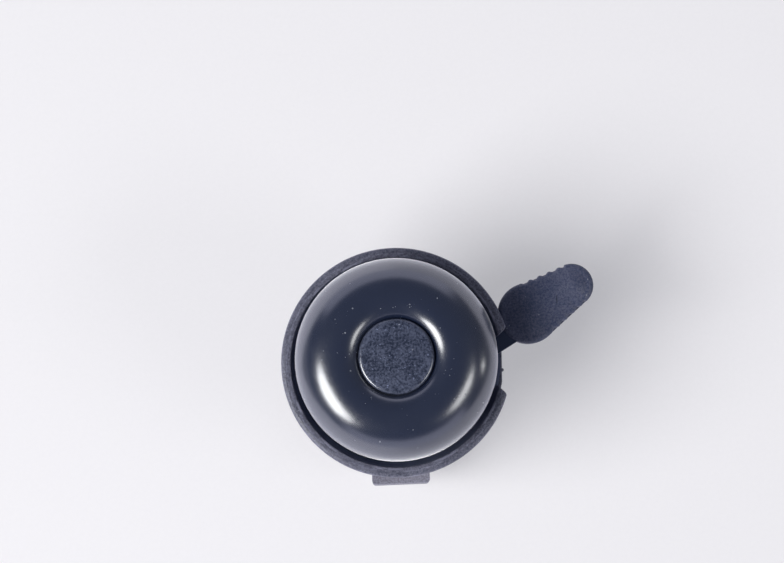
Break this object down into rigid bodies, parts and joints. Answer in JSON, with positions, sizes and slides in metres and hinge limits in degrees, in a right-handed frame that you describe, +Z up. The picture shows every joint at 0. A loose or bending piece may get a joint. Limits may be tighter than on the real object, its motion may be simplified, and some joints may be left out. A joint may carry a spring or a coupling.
{
  "type": "bicycle bell",
  "caption": "Thumb-lever bicycle bell: black metal dome over a plastic cup, geared rotor with loose strikers inside, and a screw clamp for the handlebar.",
  "frame": {"origin": "centre of the handlebar bore, midway along the clamp", "axes": "+X along the handlebar, towards the thumb lever; +Z up along the axis of the bell; -Y towards the clamp screw"},
  "size_m": [0.0674, 0.0499, 0.0555],
  "materials": {
    "cup_plastic": "dark grey, fine moulded grain",
    "clamp_plastic": "grey, fine moulded grain",
    "cap_plastic": "dark grey, speckled matte",
    "pad_plastic": "dark grey, fine moulded grain",
    "dome_metal": "gloss black",
    "lever_metal": "satin black",
    "steel": "zinc plated",
    "brass": "turned",
    "nylon": "natural nylon",
    "rubber": "matte black"
  },
  "bodies": {
    "base": {"base_cup": "cup_plastic", "clamp_bracket": "clamp_plastic", "bar_liner": "rubber", "bracket_screws": "steel", "clamp_washer": "steel", "clamp_nut": "steel", "center_spindle": "steel", "dome_sleeve": "nylon", "dome_grommet": "rubber", "dome": "dome_metal", "dome_washer": "steel", "dome_screw": "steel", "center_cap": "cap_plastic", "lever_post": "steel", "lever_clip": "steel", "return_spring": "steel", "idler_post": "steel", "idler_clip": "steel", "rotor_clip": "steel"},
    "lever": {"thumb_lever": "lever_metal", "thumb_pad": "pad_plastic"},
    "idler": {"idler_gear": "nylon"},
    "rotor": {"rotor_gear": "nylon", "rotor_bar": "steel", "striker_pins": "steel"},
    "loose_striker_a": {"striker_a": "brass"},
    "loose_striker_b": {"striker_b": "brass"},
    "screw": {"clamp_screw": "steel"}
  },
  "joints": [
    {"name": "lever_swing", "type": "hinge", "parent": "base", "child": "lever", "pos_m": [0.01228, 0, 0.0175], "axis": [0, 0, 1], "range_deg": [-28, 0], "stiffness_Nm_per_rad": 0.06, "springref_deg": 14.32, "deforming": ["return_spring"]},
    {"name": "idler_spin", "type": "hinge", "parent": "base", "child": "idler", "pos_m": [0.00442, -0.01116, 0.0185], "axis": [0, 0, 1], "range_deg": [0, 93.4]},
    {"name": "rotor_spin", "type": "hinge", "parent": "base", "child": "rotor", "pos_m": [0, 0, 0.0235], "axis": [0, 0, 1], "range_deg": [-173.4, 0]},
    {"name": "striker_a_spin", "type": "hinge", "parent": "rotor", "child": "loose_striker_a", "pos_m": [0.01372, 0.00499, 0.02985], "axis": [0, 0, 1], "continuous": true},
    {"name": "striker_b_spin", "type": "hinge", "parent": "rotor", "child": "loose_striker_b", "pos_m": [-0.01372, -0.00499, 0.02985], "axis": [0, 0, 1], "continuous": true},
    {"name": "clamp_screw_turn", "type": "hinge", "parent": "base", "child": "screw", "pos_m": [0, -0.0197, 0], "axis": [0, 0, 1], "continuous": true}
  ],
  "couplings": [
    {"joint": "idler_spin", "follows": "lever_swing", "ratio": -3.3333},
    {"joint": "rotor_spin", "follows": "lever_swing", "ratio": 6.1905}
  ]
}
